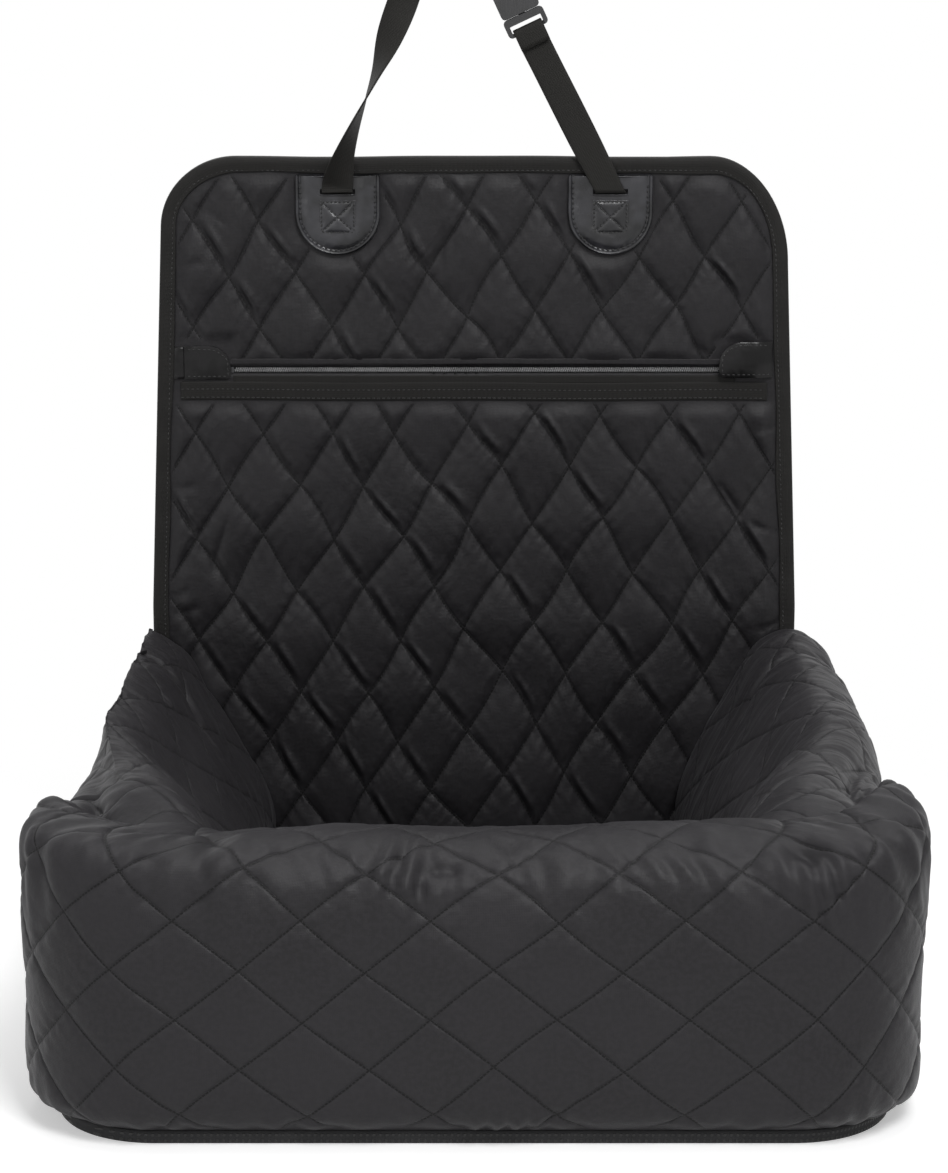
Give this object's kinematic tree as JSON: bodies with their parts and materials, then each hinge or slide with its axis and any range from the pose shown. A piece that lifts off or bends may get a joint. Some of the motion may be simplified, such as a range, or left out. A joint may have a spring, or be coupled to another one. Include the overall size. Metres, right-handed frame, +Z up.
{
  "type": "dog car seat",
  "caption": "Quilted dog car seat: a padded bed with puffed bolsters, and a tall quilted back flap with a zip pocket and a buckled strap loop for a headrest.",
  "frame": {"origin": "centre of the base's underside, under the middle of the whole object's width and depth", "axes": "+Z up, -Y to the front where the dog gets in, +Y to the back flap, +X to the viewer's right"},
  "size_m": [0.6342, 0.58, 0.8913],
  "materials": {
    "cover": "satin",
    "binding": "matte",
    "webbing": "matte",
    "underside": "matte",
    "foam": "matte",
    "filling": "matte",
    "board": "matte",
    "patch": "satin",
    "zip_coil": "satin",
    "zip_metal": "satin",
    "buckle": "satin"
  },
  "bodies": {
    "bed": {"anti_slip_base_tray": "underside", "floor_foam": "foam", "floor_cushion": "cover", "front_bolster_cover": "cover", "front_bolster_filling": "filling", "left_bolster_cover": "cover", "left_bolster_filling": "filling", "right_bolster_cover": "cover", "right_bolster_filling": "filling", "lower_back_quilt": "cover", "lower_back_board": "board", "lower_back_rear_fabric": "underside", "lower_back_wadding": "foam", "left_lower_binding": "binding", "right_lower_binding": "binding"},
    "back_flap": {"flap_front_quilt": "cover", "flap_board": "board", "flap_rear_fabric": "underside", "pocket_lining": "underside", "flap_binding": "binding", "zip_coil_upper": "zip_coil", "zip_coil_lower": "zip_coil", "zip_tape_upper": "binding", "zip_tape_lower": "binding", "left_zip_stop": "zip_metal", "right_zip_stop": "zip_metal", "pocket_band": "binding", "left_strap_patch": "patch", "right_strap_patch": "patch", "left_strap_root": "webbing", "right_strap_root": "webbing"},
    "left_tab": {"left_zip_tab": "patch"},
    "right_tab": {"right_zip_tab": "patch"},
    "zip_slider": {"zip_slider": "zip_metal"},
    "zip_pull": {"zip_pull": "zip_metal"},
    "strap_loop": {"left_strap": "webbing", "right_strap": "webbing", "buckle_female": "buckle"},
    "buckle_male": {"buckle_male": "buckle", "buckle_arm_left": "buckle", "buckle_arm_right": "buckle"}
  },
  "joints": [
    {"name": "flap_fold", "type": "hinge", "parent": "bed", "child": "back_flap", "pos_m": [0, 0.275, 0.262], "axis": [1, 0, 0], "range_deg": [-20, 90]},
    {"name": "left_tab_lift", "type": "hinge", "parent": "back_flap", "child": "left_tab", "pos_m": [-0.2416, 0.2741, 0.47], "axis": [0, 0, -1], "range_deg": [0, 60]},
    {"name": "right_tab_lift", "type": "hinge", "parent": "back_flap", "child": "right_tab", "pos_m": [0.24903, 0.2741, 0.473], "axis": [0, 0, 1], "range_deg": [0, 60]},
    {"name": "zip_slide", "type": "slide", "parent": "back_flap", "child": "zip_slider", "axis": [1, 0, 0], "range_m": [-0.4, 0], "deforming": ["zip_coil_upper", "zip_coil_lower"]},
    {"name": "zip_pull_swing", "type": "hinge", "parent": "zip_slider", "child": "zip_pull", "pos_m": [0.21203, 0.27265, 0.464], "axis": [0, 0, -1], "range_deg": [0, 6]},
    {"name": "strap_swing", "type": "hinge", "parent": "back_flap", "child": "strap_loop", "pos_m": [0, 0.26885, 0.6125], "axis": [1, 0, 0], "range_deg": [0, 145]},
    {"name": "buckle_release", "type": "slide", "parent": "strap_loop", "child": "buckle_male", "axis": [0.4226, 0, -0.9063], "range_m": [0, 0.03], "deforming": ["right_strap", "buckle_arm_left", "buckle_arm_right"]}
  ]
}
